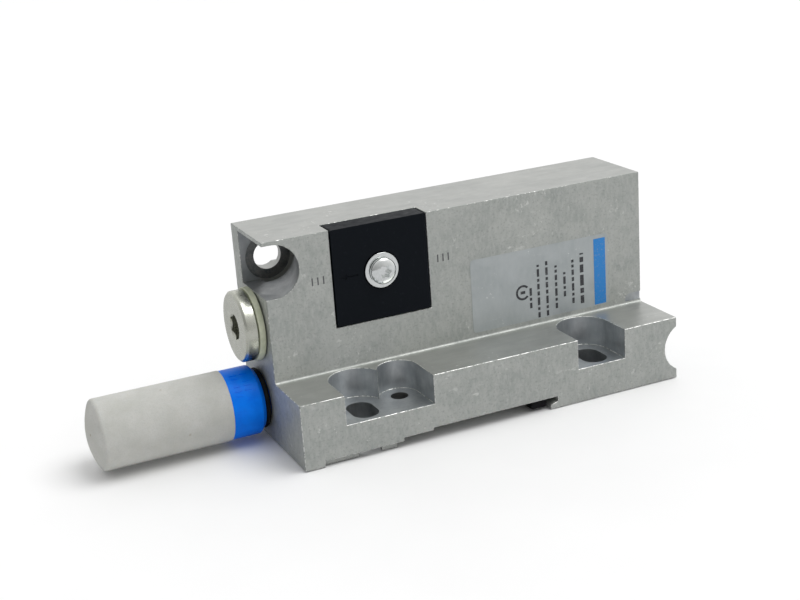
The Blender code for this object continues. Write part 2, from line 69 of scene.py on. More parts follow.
PORT_Y = sum(corner.y for corner in span("muffler_base")) / 2
MUFFLER_Z = sum(corner.z for corner in span("muffler_base")) / 2
PLUG_Z = sum(corner.z for corner in span("blanking_plug")) / 2
PORT_BORE = 13.157 / 2          # G1/4 thread: radius of the port, of the crests and of the roots
THREAD_CREST = 12.9 / 2
THREAD_ROOT = 11.5 / 2
THREAD_PITCH = 1.337
THREAD_CHAMFER = 0.6
FITTING_EDGE = 0.15             # how round the edges of the plug and the muffler's base are
GRAIN_ROOM = 0.05               # room for the grain of the porous cup inside its CAD solid

SCREW_X = (PLATE_LOW.x + PLATE_HIGH.x) / 2
SCREW_Z = sum(corner.z for corner in span("selector_screw")) / 2
SCREW_HOLE = 2.1


# ---------------------------------------------------------------- mesh helpers

SHARP = 32                      # an edge that bends more than this many degrees is a real edge
CASTING_SHARP = 35              # the same for the casting, whose fillet bends by 30 at a time


def place(x, y, z):
    return CORNER + Vector((x, y, z)) * MM


def add(name, mesh, matrix=None, materials=()):
    made = bpy.data.objects.new(name, mesh)
    if matrix is not None:
        made.matrix_world = matrix
    for material in materials:
        mesh.materials.append(material)
    bpy.context.scene.collection.objects.link(made)
    return made


def from_bmesh(name, shape, matrix=None, materials=()):
    mesh = bpy.data.meshes.new(name)
    bmesh.ops.recalc_face_normals(shape, faces=shape.faces)
    shape.to_mesh(mesh)
    shape.free()
    return add(name, mesh, matrix, materials)


def prism(name, axis, outline, start, end, materials=()):
    """Closed outline, given in the other two coordinates in order, pushed along an axis."""
    shape = bmesh.new()
    corners = [shape.verts.new(local(axis, u, v, start)) for u, v in outline]
    face = shape.faces.new(corners)
    pushed = bmesh.ops.extrude_face_region(shape, geom=[face])
    move = local(axis, 0, 0, end) - local(axis, 0, 0, start)
    moved = [item for item in pushed["geom"] if isinstance(item, bmesh.types.BMVert)]
    bmesh.ops.translate(shape, vec=move, verts=moved)
    return from_bmesh(name, shape, None, materials)


def local(axis, u, v, along):
    """World point from two outline coordinates and the place along the axis."""
    point = [u, v]
    point.insert("XYZ".index(axis), along)
    return place(*point)


def bar(name, axis, centre, radius, start, end, steps=64, materials=()):
    return prism(name, axis, arc(*centre, radius, 0, 360, steps)[:-1], start, end, materials)


def block(name, low, high, materials=()):
    outline = [(low[0], low[1]), (high[0], low[1]), (high[0], high[1]), (low[0], high[1])]
    return prism(name, "Z", outline, low[2], high[2], materials)


def arc(centre_u, centre_v, radius, first, last, steps=24):
    angles = [math.radians(first + (last - first) * i / steps) for i in range(steps + 1)]
    return [(centre_u + radius * math.cos(a), centre_v + radius * math.sin(a)) for a in angles]


def rounded_box(left, right, bottom, top, radius, steps=8):
    corners = ((right - radius, top - radius, 0), (left + radius, top - radius, 90),
               (left + radius, bottom + radius, 180), (right - radius, bottom + radius, 270))
    return [point for u, v, start in corners
            for point in arc(u, v, radius, start, start + 90, steps)]


def lathe(name, profile, centre, axis, materials, steps=96, shape=None):
    """Round piece about an axis through centre: (radius, place) points, closed if none is at 0.

    shape(radius, along, angle) may change the radius, which makes threads and flats. A profile
    point can carry a third value, the index of the material of the faces that follow it.
    """
    shape = shape or (lambda radius, along, angle: radius)
    body = bmesh.new()
    rings = []
    for point in profile:
        radius, along = point[:2]
        if radius == 0:
            rings.append([body.verts.new(local(axis, *centre, along))])
            continue
        ring = []
        for i in range(steps):
            angle = math.tau * i / steps
            r = shape(radius, along, angle)
            u = centre[0] + r * math.cos(angle)
            v = centre[1] + r * math.sin(angle)
            ring.append(body.verts.new(local(axis, u, v, along)))
        rings.append(ring)
    pairs = list(zip(rings, rings[1:], profile))
    if profile[0][0] > 0:
        pairs.append((rings[-1], rings[0], profile[-1]))
    for first, second, point in pairs:
        index = point[2] if len(point) > 2 else 0
        for i in range(steps):
            j = (i + 1) % steps
            corners = [first[i % len(first)], first[j % len(first)],
                       second[j % len(second)], second[i % len(second)]]
            face = body.faces.new(list(dict.fromkeys(corners)))
            face.material_index = index
    made = from_bmesh(name, body, None, materials)
    smooth(made)
    return made


def smooth(piece):
    piece.data.shade_smooth()
    piece.data.set_sharp_from_angle(angle=math.radians(SHARP))


def rounded(profile, radius, steps=4):
    """The profile with each outer corner replaced by a small arc."""
    result = [profile[0]]
    for before, here, after in zip(profile, profile[1:], profile[2:]):
        to_before = Vector(before[:2]) - Vector(here[:2])
        to_after = Vector(after[:2]) - Vector(here[:2])
        reach = min(radius, to_before.length / 2.2, to_after.length / 2.2)
        start = Vector(here[:2]) + to_before.normalized() * reach
        end = Vector(here[:2]) + to_after.normalized() * reach
        for i in range(steps + 1):
            t = i / steps
            point = start.lerp(Vector(here[:2]), t).lerp(Vector(here[:2]).lerp(end, t), t)
            result.append((point.x, point.y, *here[2:]))
    result.append(profile[-1])
    return result


def boolean(target, others, operation="DIFFERENCE", keep_materials=True):
    """Applies the joins or cuts at once and removes the cutters."""
    for other in others:
        step = target.modifiers.new(other.name, "BOOLEAN")
        step.object = other
        step.operation = operation
        step.solver = "EXACT"
        step.material_mode = "TRANSFER" if keep_materials else "INDEX"
    apply_modifiers(target)
    for other in others:
        bpy.data.objects.remove(other, do_unlink=True)
    return target


def apply_modifiers(piece):
    bpy.context.view_layer.update()
    ready = piece.evaluated_get(bpy.context.evaluated_depsgraph_get())
    mesh = bpy.data.meshes.new_from_object(ready)
    piece.modifiers.clear()
    piece.data = mesh


def clean(piece):
    """Welds slivers left by cuts and joins flat neighbours into one face."""
    weld, bend = 0.004 * MM, math.radians(0.6)
    shape = bmesh.new()
    shape.from_mesh(piece.data)
    bmesh.ops.remove_doubles(shape, verts=shape.verts, dist=weld)
    bmesh.ops.dissolve_degenerate(shape, edges=shape.edges, dist=weld)
    bmesh.ops.dissolve_limit(shape, angle_limit=bend, verts=shape.verts,
                             edges=shape.edges, delimit={"MATERIAL"})
    shape.to_mesh(piece.data)
    shape.free()


def round_edges(piece, width, segments=2, angle=SHARP, material=-1, marked=False):
    """Bevels the sharp edges, or only those that mark_edges picked."""
    edges = piece.modifiers.new("edges", "BEVEL")
    edges.width = width * MM
    edges.segments = segments
    edges.limit_method = "WEIGHT" if marked else "ANGLE"
    edges.angle_limit = math.radians(angle)
    edges.harden_normals = True
    edges.material = material
    piece.data.shade_smooth()
    return piece


def mark_edges(piece, low, high):
    """Picks the sharp edges whose middle lies between two corners, in the block's millimetres."""
    shape = bmesh.new()
    shape.from_mesh(piece.data)
    weight = shape.edges.layers.float.new("bevel_weight_edge")
    for edge in shape.edges:
        if len(edge.link_faces) != 2 or edge.calc_face_angle() < math.radians(CASTING_SHARP):
            continue
        middle = ((edge.verts[0].co + edge.verts[1].co) / 2 - CORNER) / MM
        edge[weight] = float(all(low[i] <= middle[i] <= high[i] for i in range(3)))
    shape.to_mesh(piece.data)
    shape.free()


def flat_faces(piece):
    """Shades large flat faces flat and the narrow ones between them smooth."""
    smooth(piece)
    normals = piece.modifiers.new("normals", "WEIGHTED_NORMAL")
    normals.keep_sharp = True
    normals.weight = 100


def piece_of(piece, body, slot, *nodes):
    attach(piece, body)
    if nodes:
        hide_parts(*nodes)
    return piece


# ---------------------------------------------------------------- material helpers

class Paint:
    """A Principled material and short ways to wire its nodes; lengths are in millimetres."""

    def __init__(self, name, colour, roughness, metallic=0.0, **sockets):
        self.material = bpy.data.materials.new(name)
        self.material.use_nodes = True
        self.tree = self.material.node_tree
        self.shader = self.tree.nodes["Principled BSDF"]
        self.shader.inputs["Base Color"].default_value = (*colour, 1.0)
        self.shader.inputs["Roughness"].default_value = roughness
        self.shader.inputs["Metallic"].default_value = metallic
        for socket, value in sockets.items():
            self.shader.inputs[socket.replace("_", " ")].default_value = value
        coordinates = self.node("ShaderNodeTexCoord")
        self.millimetres = self.stretch(coordinates.outputs["Object"], (1 / MM,) * 3)
        self.normal = None

    def node(self, kind, **settings):
        made = self.tree.nodes.new(kind)
        for key, value in settings.items():
            setattr(made, key, value)
        return made

    def link(self, output, target):
        self.tree.links.new(output, target)

    def stretch(self, vector, scale):
        """The coordinates times scale, so a small number draws a pattern out along that axis."""
        mapping = self.node("ShaderNodeMapping")
        mapping.inputs["Scale"].default_value = scale
        self.link(vector, mapping.inputs["Vector"])
        return mapping.outputs["Vector"]

    def noise(self, size, detail=3.0, rough=0.55, distortion=0.0, stretch=None):
        """Noise whose features are about size millimetres across, from 0 to 1."""
        made = self.node("ShaderNodeTexNoise")
        made.inputs["Scale"].default_value = 1.0 / size
        made.inputs["Detail"].default_value = detail
        made.inputs["Roughness"].default_value = rough
        made.inputs["Distortion"].default_value = distortion
        vector = self.stretch(self.millimetres, stretch) if stretch else self.millimetres
        self.link(vector, made.inputs["Vector"])
        return made.outputs["Fac"]

    def cells(self, size):
        """Distance from the middle of the nearest of many cells, each about size across."""
        made = self.node("ShaderNodeTexVoronoi")
        made.inputs["Scale"].default_value = 1.0 / size
        self.link(self.millimetres, made.inputs["Vector"])
        return made.outputs["Distance"]

    def ramp(self, value, low, high, out_low=0.0, out_high=1.0):
        """The value with low..high stretched to out_low..out_high, and held at the ends."""
        made = self.node("ShaderNodeMapRange")
        for key, number in (("From Min", low), ("From Max", high), ("To Min", out_low),
                            ("To Max", out_high)):
            made.inputs[key].default_value = number
        self.link(value, made.inputs["Value"])
        return made.outputs["Result"]

    def maths(self, operation, first, second):
        made = self.node("ShaderNodeMath", operation=operation)
        for socket, value in zip(made.inputs, (first, second)):
            if isinstance(value, (int, float)):
                socket.default_value = value
            else:
                self.link(value, socket)
        return made.outputs["Value"]

    def blend(self, factor, first, second):
        """Mix of two colours, each a tuple or a node's output."""
        made = self.node("ShaderNodeMix", data_type="RGBA")
        self.link(factor, made.inputs["Factor"])
        for name, value in (("A", first), ("B", second)):
            socket = next(s for s in made.inputs if s.name == name and s.type == "RGBA")
            if isinstance(value, tuple):
                socket.default_value = (*value, 1.0)
            else:
                self.link(value, socket)
        return next(s for s in made.outputs if s.type == "RGBA")

    def colour(self, value):
        self.link(value, self.shader.inputs["Base Color"])

    def roughness(self, value):
        self.link(value, self.shader.inputs["Roughness"])

    def bump(self, height, depth, strength=1.0):
        """Bumps depth millimetres high, on top of those already there."""
        made = self.node("ShaderNodeBump")
        made.inputs["Distance"].default_value = depth * MM
        made.inputs["Strength"].default_value = strength
        self.link(height, made.inputs["Height"])
        if self.normal is not None:
            self.link(self.normal, made.inputs["Normal"])
        self.normal = made.outputs["Normal"]
        self.link(self.normal, self.shader.inputs["Normal"])


def flecks(paint, size, keep, stretch=(1.0, 1.0, 1.0)):
    """Small light nicks where the skin was knocked: 1 on a nick, 0 elsewhere."""
    nick = paint.ramp(paint.noise(size, 3.0, 0.6, 0.3, stretch), keep, keep + 0.05)
    where = paint.ramp(paint.noise(size * 7.0, 2.0), 0.55, 0.68)
    return paint.maths("MULTIPLY", nick, where)


def scaled(level, colour):
    return tuple(level * part for part in colour)


def cast_aluminium():
    """Blasted casting: fine grain, faint upright streaks, cloudy tone and scattered light nicks."""
    paint = Paint("cast_aluminium", (0.46, 0.48, 0.46), 0.5, 0.6)
    cloud = paint.ramp(paint.noise(8.0, 5.0, 0.62, 0.4), 0.34, 0.66)
    tone = paint.blend(cloud, (0.405, 0.428, 0.407), (0.505, 0.523, 0.495))
    streak = paint.ramp(paint.noise(1.0, 4.0, 0.65, 0.2, (1.0, 1.0, 0.4)), 0.42, 0.62, 0.0, 0.6)
    tone = paint.blend(streak, tone, (0.550, 0.565, 0.540))
    pits = paint.ramp(paint.noise(0.6, 3.0, 0.6), 0.54, 0.68, 0.0, 0.45)
    tone = paint.blend(pits, tone, (0.270, 0.285, 0.278))
    light = paint.maths("MAXIMUM", flecks(paint, 0.9, 0.60, (1.0, 1.0, 0.7)),
                        flecks(paint, 2.2, 0.62, (0.6, 1.0, 1.0)))
    paint.colour(paint.blend(paint.ramp(light, 0, 1, 0, 0.55), tone, (0.80, 0.81, 0.78)))
    paint.roughness(paint.ramp(paint.noise(2.5, 4.0, 0.6), 0.3, 0.7, 0.44, 0.60))
    paint.bump(paint.noise(0.45, 4.0, 0.65), 0.03)
    paint.bump(paint.noise(5.0, 3.0, 0.5), 0.08, 0.6)
    return paint.material


def milled_aluminium():
    """Machined flats on the top and on the ledge: smoother, with faint cutter tracks."""
    paint = Paint("milled_aluminium", (0.46, 0.47, 0.45), 0.36, 0.85)
    cloud = paint.ramp(paint.noise(13.0, 4.0, 0.6, 0.5), 0.34, 0.68)
    tone = paint.blend(cloud, (0.425, 0.436, 0.420), (0.478, 0.486, 0.465))
    smear = paint.ramp(paint.noise(2.2, 4.0, 0.6, 0.3, (0.3, 1.0, 1.0)), 0.40, 0.70, 0.0, 0.5)
    tone = paint.blend(smear, tone, (0.550, 0.555, 0.530))
    paint.colour(paint.blend(flecks(paint, 0.9, 0.63), tone, (0.78, 0.78, 0.76)))
    paint.roughness(paint.ramp(paint.noise(4.0, 3.0), 0.3, 0.7, 0.32, 0.44))
    paint.bump(paint.noise(0.35, 2.0, 0.5, 0.0, (0.04, 1.0, 1.0)), 0.006)
    paint.bump(paint.noise(0.8, 3.0, 0.6), 0.012, 0.8)
    return paint.material


def bored_aluminium(name, level):
    """Walls and floors of the cut pockets: smoother and bluer than the cast skin. The level scales
    the whole tone; a low level makes a copy darkened as painted shade.
    """
    paint = Paint(name, (0.45, 0.47, 0.48), 0.36, 0.85)
    cloud = paint.ramp(paint.noise(4.0, 3.0, 0.55), 0.35, 0.7)
    tone = paint.blend(cloud, scaled(level, (0.84, 0.89, 0.92)), scaled(level, (1.11, 1.15, 1.16)))
    streak = paint.ramp(paint.noise(0.8, 3.0, 0.6, 0.0, (1.0, 1.0, 0.2)), 0.45, 0.75, 0.0, 0.4)
    paint.colour(paint.blend(streak, tone, scaled(level, (0.68, 0.71, 0.76))))
    paint.roughness(paint.ramp(paint.noise(2.5, 3.0), 0.3, 0.7, 0.30, 0.44))
    paint.bump(paint.noise(0.5, 2.0, 0.5, 0.0, (1.0, 1.0, 0.15)), 0.012)
    paint.bump(paint.noise(0.7, 3.0, 0.6), 0.010)
    return paint.material


def painted_shade_bore():
    """Drilled holes, ducts and the spot face: coloured with painted shade, with faint rings from
    the tool.
    """
    # Painted shade: these low base tones stand in for the shadow inside bores, not for the metal's
    # own colour.
    paint = Paint("painted_shade_bore", (0.12, 0.12, 0.12), 0.42, 0.8)
    cloud = paint.ramp(paint.noise(3.0, 3.0, 0.6), 0.35, 0.7)
    tone = paint.blend(cloud, (0.150, 0.165, 0.172), (0.270, 0.270, 0.262))
    rings = paint.ramp(paint.noise(0.5, 2.0, 0.5, 0.0, (1.0, 0.15, 1.0)), 0.4, 0.7, 0.0, 0.5)
    paint.colour(paint.blend(rings, tone, (0.34, 0.33, 0.31)))
    paint.roughness(paint.ramp(paint.noise(1.5, 3.0), 0.3, 0.7, 0.34, 0.50))
    paint.bump(paint.noise(0.4, 3.0, 0.6), 0.012)
    return paint.material


def worn_edge():
    """Edges rubbed bright in places; the ledge's and the pockets' more than the wall's."""
    paint = Paint("worn_edge", (0.7, 0.7, 0.68), 0.3, 0.9)
    apart = paint.node("ShaderNodeSeparateXYZ")
    paint.link(paint.millimetres, apart.inputs["Vector"])
    base = place(0, 0, 0).z / MM
    high = paint.ramp(apart.outputs["Z"], base + LEDGE_TOP + 1, base + LEDGE_TOP + 5, 0.0, 0.10)
    rub = paint.maths("SUBTRACT", paint.noise(1.1, 5.0, 0.75), high)
    worn = paint.ramp(rub, 0.42, 0.54)
    paint.colour(paint.blend(worn, (0.38, 0.40, 0.38), (0.95, 0.95, 0.92)))
    paint.roughness(paint.ramp(worn, 0, 1, 0.60, 0.28))
    paint.bump(paint.noise(0.45, 4.0, 0.7), 0.09)
    return paint.material


def black_plastic():
    paint = Paint("black_plastic", (0.004, 0.006, 0.009), 0.5, 0.0, Specular_IOR_Level=0.10)
    dust = paint.ramp(paint.noise(0.9, 4.0, 0.7), 0.60, 0.78)
    paint.colour(paint.blend(dust, (0.0035, 0.0055, 0.0085), (0.012, 0.015, 0.020)))
    paint.roughness(paint.ramp(paint.noise(2.0, 3.0), 0.3, 0.7, 0.42, 0.56))
    paint.bump(paint.noise(0.22, 3.0, 0.6), 0.012)
    return paint.material


def rubber():
    paint = Paint("rubber", (0.010, 0.010, 0.011), 0.72, Specular_IOR_Level=0.15)
    bloom = paint.ramp(paint.noise(1.5, 4.0, 0.6), 0.45, 0.75)
    paint.colour(paint.blend(bloom, (0.006, 0.006, 0.007), (0.020, 0.020, 0.021)))
    paint.roughness(paint.ramp(paint.noise(0.8, 3.0), 0.3, 0.7, 0.62, 0.8))
    paint.bump(paint.noise(0.2, 3.0, 0.6), 0.01)
    return paint.material


def zinc_steel():
    paint = Paint("zinc_steel", (0.88, 0.90, 0.89), 0.18, 1.0)
    paint.colour(paint.blend(paint.ramp(paint.noise(0.9, 4.0, 0.6), 0.3, 0.7),
                             (0.82, 0.85, 0.84), (0.93, 0.95, 0.94)))
    paint.roughness(paint.ramp(paint.noise(0.5, 3.0), 0.3, 0.7, 0.12, 0.24))
    paint.bump(paint.noise(0.3, 3.0, 0.6), 0.004)
    return paint.material


def turned_steel():
    """Yellowish passivated zinc on turned steel, with faint rings round the plug's own axis."""
    paint = Paint("turned_steel", (0.50, 0.50, 0.44), 0.3, 1.0)
    axis = place(0, PORT_Y, PLUG_Z) / MM
    offset = paint.node("ShaderNodeVectorMath", operation="SUBTRACT")
    paint.link(paint.millimetres, offset.inputs[0])
    offset.inputs[1].default_value = axis
    flat = paint.stretch(offset.outputs["Vector"], (0.0, 1.0, 1.0))
    radius = paint.node("ShaderNodeVectorMath", operation="LENGTH")
    paint.link(flat, radius.inputs[0])
    rings = paint.node("ShaderNodeTexNoise", noise_dimensions="1D")
    rings.inputs["Scale"].default_value = 6.0
    rings.inputs["Detail"].default_value = 2.0
    paint.link(radius.outputs["Value"], rings.inputs["W"])
    cloud = paint.ramp(paint.noise(4.0, 4.0, 0.6), 0.35, 0.7)
    paint.colour(paint.blend(cloud, (0.575, 0.585, 0.515), (0.680, 0.690, 0.610)))
    paint.roughness(paint.ramp(paint.noise(1.2, 4.0), 0.3, 0.7, 0.24, 0.34))
    paint.bump(rings.outputs["Fac"], 0.006)
    return paint.material


def seal_polymer():
    paint = Paint("seal_polymer", (0.50, 0.52, 0.38), 0.45)
    paint.shader.inputs["Subsurface Weight"].default_value = 0.15
    paint.shader.inputs["Subsurface Radius"].default_value = (0.001, 0.001, 0.0006)
    cloud = paint.ramp(paint.noise(2.0, 4.0, 0.6), 0.35, 0.7)
    paint.colour(paint.blend(cloud, (0.46, 0.49, 0.36), (0.58, 0.60, 0.46)))
    paint.bump(paint.noise(0.4, 3.0, 0.6), 0.01)
    return paint.material


def blue_plastic():
    paint = Paint("blue_plastic", (0.0, 0.20, 0.95), 0.34, Specular_IOR_Level=0.12)
    cloud = paint.ramp(paint.noise(3.0, 4.0, 0.6), 0.3, 0.75)
    paint.colour(paint.blend(cloud, (0.0, 0.165, 0.86), (0.0, 0.225, 1.0)))
    paint.roughness(paint.ramp(paint.noise(1.5, 3.0), 0.3, 0.7, 0.28, 0.42))
    paint.bump(paint.noise(0.5, 3.0, 0.6), 0.014)
    paint.bump(paint.noise(2.5, 3.0, 0.5), 0.04, 0.7)
    return paint.material


def porous_polymer():
    """Sintered plastic: grains a few tenths of a millimetre across, and a few brown specks."""
    paint = Paint("porous_polymer", (0.58, 0.58, 0.55), 0.85, Specular_IOR_Level=0.3)
    paint.shader.inputs["Subsurface Weight"].default_value = 0.25
    paint.shader.inputs["Subsurface Radius"].default_value = (0.0012, 0.001, 0.0008)
    grain = paint.cells(0.34)
    cloud = paint.ramp(paint.noise(6.0, 5.0, 0.6), 0.32, 0.7)
    colour = paint.blend(cloud, (0.495, 0.500, 0.467), (0.572, 0.572, 0.548))
    pores = paint.ramp(grain, 0.45, 0.75)
    colour = paint.blend(paint.ramp(pores, 0, 1, 0, 0.22), colour, (0.42, 0.42, 0.39))
    specks = paint.ramp(paint.cells(4.6), 0.05, 0.09, 1.0, 0.0)
    rare = paint.ramp(paint.noise(9.0, 1.0), 0.52, 0.56)
    colour = paint.blend(paint.maths("MULTIPLY", paint.maths("MULTIPLY", specks, rare), 0.6),
                         colour, (0.26, 0.21, 0.12))
    paint.colour(colour)
    paint.bump(grain, 0.05, 0.7)
    paint.bump(paint.noise(1.5, 4.0, 0.65), 0.05, 0.6)
    return paint.material


def ink(name, colour):
    paint = Paint(name, colour, 0.45)
    worn = paint.ramp(paint.noise(0.5, 4.0, 0.7), 0.55, 0.75, 0.0, 0.5)
    paint.colour(paint.blend(worn, colour, (0.35, 0.36, 0.36)))
    paint.roughness(paint.ramp(paint.noise(0.8, 2.0), 0.3, 0.7, 0.35, 0.5))
    return paint.material


def clear_film():
    """Thin varnished film: the metal under it looks a little bluer and smoother."""
    paint = Paint("clear_film", (0.45, 0.48, 0.48), 0.36, 0.6)
    paint.shader.inputs["Coat Weight"].default_value = 0.25
    paint.shader.inputs["Coat Roughness"].default_value = 0.2
    cloud = paint.ramp(paint.noise(7.0, 5.0, 0.6, 0.4), 0.34, 0.68)
    tone = paint.blend(cloud, (0.425, 0.462, 0.466), (0.505, 0.540, 0.545))
    streak = paint.ramp(paint.noise(1.1, 4.0, 0.65, 0.0, (1.0, 1.0, 0.35)), 0.36, 0.72, 0.0, 0.45)
    tone = paint.blend(streak, tone, (0.530, 0.560, 0.555))
    paint.colour(paint.blend(flecks(paint, 0.8, 0.63), tone, (0.72, 0.74, 0.73)))
    paint.roughness(paint.ramp(paint.noise(3.0, 3.0), 0.3, 0.7, 0.36, 0.48))
    paint.bump(paint.noise(2.5, 3.0, 0.5), 0.02)
    return paint.material


# ---------------------------------------------------------------- block

CASTING_EDGE = 0.2
HOLE_EDGE = 0.15
# x, y, radius and floor of each pocket
LEDGE_POCKETS = ((18.5, 9.2, 6.9, 9.4), (30.15, 9.9, 5.2, 9.4), (84.0, 8.9, 7.1, 9.1))
CLAMP_SLOTS = ((18.6, 6.8), (84.6, 6.8))
SLOT_RADIUS = 6.9 / 2
SLOT_REACH = 10.4 / 2 - SLOT_RADIUS
SMALL_HOLE = 4.5 / 2
TIE_X, TIE_Z = 7.45, 44.7
TIE_POCKET_Z = 45.7
TIE_FLOOR = 34.5
NOTCH = (110.4, 8.5, 6.75)      # x, z, radius
SUPPLY_DUCT = (4.0, 80)         # radius, right end
EXHAUST_DUCT = (4.5, 96)
SUPPLY_OPENING = (52.0, 78.0, 26.6, 33.4)    # left, right, bottom, top, in the back face
EXHAUST_OPENING = (56.0, 92.0, 6.9, 13.0)


def block_profile():
    """Side view, with a small fillet where the ledge meets the wall."""
    fillet = 0.6
    inner = arc(WALL_FRONT - fillet, LEDGE_TOP + fillet, fillet, 0, -90, 3)
    return [(0, 0), (DEPTH, 0), (DEPTH, HEIGHT), (WALL_FRONT, HEIGHT), *inner, (0, LEDGE_TOP)]


def selector_recess(bored):
    low = (PLATE_LOW.x - CLEARANCE, WALL_FRONT - PAST, PLATE_LOW.z - CLEARANCE)
    high = (PLATE_HIGH.x + CLEARANCE, PLATE_HIGH.y + CLEARANCE, HEIGHT + PAST)
    return [block("recess", low, high, bored)]


def selector_holes(bored):
    """The screw's hole, one port that meets the supply duct and two that run to the back."""
    start, bottom, radius = PLATE_HIGH.y - PAST, 34, 1.6
    ends = ((5.6, -7.4, PORT_Y - PAST), (-5.6, 7.4, DEPTH + PAST),
            (5.4 * math.cos(math.pi / 6), 2.7, DEPTH + PAST))
    thread = bar("thread", "Y", (SCREW_X, SCREW_Z), SCREW_HOLE, start, bottom, 32, bored)
    ports = [bar("port", "Y", (SCREW_X + x, SCREW_Z + z), radius, start, end, 32, bored)
             for x, z, end in ends]
    return [thread, *ports]


def tie_pocket(bored):
    """Slot for a tie screw, open to the left; its round end leans to the right as it goes in."""
    front = WALL_FRONT - PAST
    front_x, radius, outside = 2.3, 6.8, -30
    lean = (TIE_X - front_x) / (TIE_FLOOR - WALL_FRONT)
    outline = arc(front_x - lean * PAST, TIE_POCKET_Z, radius, -90, 90, 40)
    outline += [(outside, TIE_POCKET_Z + radius), (outside, TIE_POCKET_Z - radius)]
    pocket = prism("pocket", "Y", outline, front, TIE_FLOOR, bored)
    start = local("Y", 0, 0, front).y
    for vertex in pocket.data.vertices:
        vertex.co.x += lean * (vertex.co.y - start)
    return [pocket]


def tie_hole(dark, milled):
    """Spot face whose tool also cut the pocket's side, the hole and the recess behind it."""
    centre, off_centre = (TIE_X, TIE_Z), (TIE_X + 0.9, TIE_Z - 0.3)
    side_radius, face_radius, hole_radius = 6.4, 6.1, 3.65
    side = bar("side", "Y", off_centre, side_radius, TIE_FLOOR - 3.0, TIE_FLOOR + 0.6, 72, milled)
    # The spot face is coloured with painted shade.
    face = bar("face", "Y", centre, face_radius, TIE_FLOOR - 0.5, TIE_FLOOR + 0.8, 72, dark)
    hole = bar("hole", "Y", centre, hole_radius, TIE_FLOOR - PAST, DEPTH + PAST, 64, milled)
    recess = block("recess", (2.0, 37.2, 41.8), (12.9, DEPTH + PAST, 47.6), milled)
    return [side, face, hole, recess]


def ledge_pockets(bored):
    """Two pockets that run into each other, a single one, and the notch in the right end."""
    (x1, y1, r1, floor), (x2, y2, r2, _), (x3, y3, r3, floor3) = LEDGE_POCKETS
    first, second = Vector((x1, y1)), Vector((x2, y2))
    apart = second - first
    along = (r1 ** 2 - r2 ** 2 + apart.length_squared) / (2 * apart.length)
    across = Vector((-apart.y, apart.x)).normalized() * math.sqrt(r1 ** 2 - along ** 2)
    cusp = first + apart.normalized() * along + across
    turn1, turn2 = (math.degrees(math.atan2(cusp.y - c.y, cusp.x - c.x)) for c in (first, second))
    double = arc(x2, y2, r2, 0, turn2, 33) + arc(x1, y1, r1, turn1, 180, 33)[1:]
    double += [(x1 - r1, -PAST), (x2 + r2, -PAST)]
    single = arc(x3, y3, r3, 0, 180, 36) + [(x3 - r3, -PAST), (x3 + r3, -PAST)]
    return [prism("pockets", "Z", double, floor, LEDGE_TOP + PAST, bored),
            prism("pocket", "Z", single, floor3, LEDGE_TOP + PAST, bored),
            bar("notch", "Y", NOTCH[:2], NOTCH[2], -PAST, DEPTH + PAST, 96, bored)]


def ledge_holes(bored, dark):
    start = LEDGE_TOP - 2
    cuts = []
    for x, y in CLAMP_SLOTS:
        outline = arc(x, y + SLOT_REACH, SLOT_RADIUS, 0, 180, 24)
        outline += arc(x, y - SLOT_REACH, SLOT_RADIUS, 180, 360, 24)
        cuts.append(prism("slot", "Z", outline, -PAST, start, bored))
    # The small hole is coloured with painted shade.
    cuts.append(bar("hole", "Z", LEDGE_POCKETS[1][:2], SMALL_HOLE, -PAST, start, 40, dark))
    return cuts


def underside_cuts(cast):
    """Rail channel with its hook and step, and the gaps between the feet."""
    channel = [(26.4, -PAST), (68.3, -PAST), (68.3, 1.2), (70.4, 1.8), (70.4, 3.1), (34.6, 3.1),
               (34.6, 2.45), (26.4, 2.45)]
    back = DEPTH + PAST
    return [prism("channel", "Y", channel, -PAST, back, cast),
            block("foot_front", (5.2, -PAST, -PAST), (27.4, 1.1, 1.5), cast),
            block("foot_middle", (14.5, -PAST, -PAST), (20.7, back, 1.5), cast),
            block("foot_right", (24.8, -PAST, -PAST), (27.4, back, 1.5), cast)]


def port_cuts(dark):
    cuts = []
    for z, depth, (radius, end) in ((PLUG_Z, 12, SUPPLY_DUCT), (MUFFLER_Z, 13, EXHAUST_DUCT)):
        # Ports and ducts are coloured with painted shade.
        cuts.append(bar("port", "X", (PORT_Y, z), PORT_BORE, -PAST, depth, 72, dark))
        cuts.append(bar("duct", "X", (PORT_Y, z), radius, -PAST, end, 48, dark))
    return cuts


def cast_recess(bored):
    """Sunk corner low at the right end of the wall, with one rounded corner."""
    left, top, radius, sunk = 102.3, 20.0, 1.7, 0.5
    outline = [(left, LEDGE_TOP + 0.7), (LENGTH + PAST, LEDGE_TOP + 0.7), (LENGTH + PAST, top)]
    outline += arc(left + radius, top - radius, radius, 90, 180, 12)
    return [prism("corner", "Y", outline, WALL_FRONT - PAST, WALL_FRONT + sunk, bored)]


def oval(node, grow):
    """Outline of a duct seal, grown on all sides."""
    low, high = span(node)
    return rounded_oval(low.x - grow, high.x + grow, low.z - grow, high.z + grow)


def rounded_oval(left, right, bottom, top):
    return rounded_box(left, right, bottom, top, 0.45 * (top - bottom))


SEALS = ("duct_seal_supply", "duct_seal_exhaust", "duct_seal_external", "duct_seal_control")
SEAL_WIDTH = 1.2
GROOVE_DEPTH = 1.3


def back_cuts(bored):
    """A groove for each duct seal, and the openings of the two ducts."""
    cuts = []
    for node in SEALS:
        bottom = DEPTH - GROOVE_DEPTH
        ring = prism("groove", "Y", oval(node, CLEARANCE), bottom, DEPTH + PAST, bored)
        core = prism("core", "Y", oval(node, -SEAL_WIDTH - CLEARANCE), bottom - PAST,
                     DEPTH + 2 * PAST, bored)
        cuts.append(boolean(ring, [core]))
    for opening in (SUPPLY_OPENING, EXHAUST_OPENING):
        outline = rounded_oval(*opening)
        cuts.append(prism("opening", "Y", outline, PORT_Y + PAST, DEPTH + PAST, bored))
    return cuts


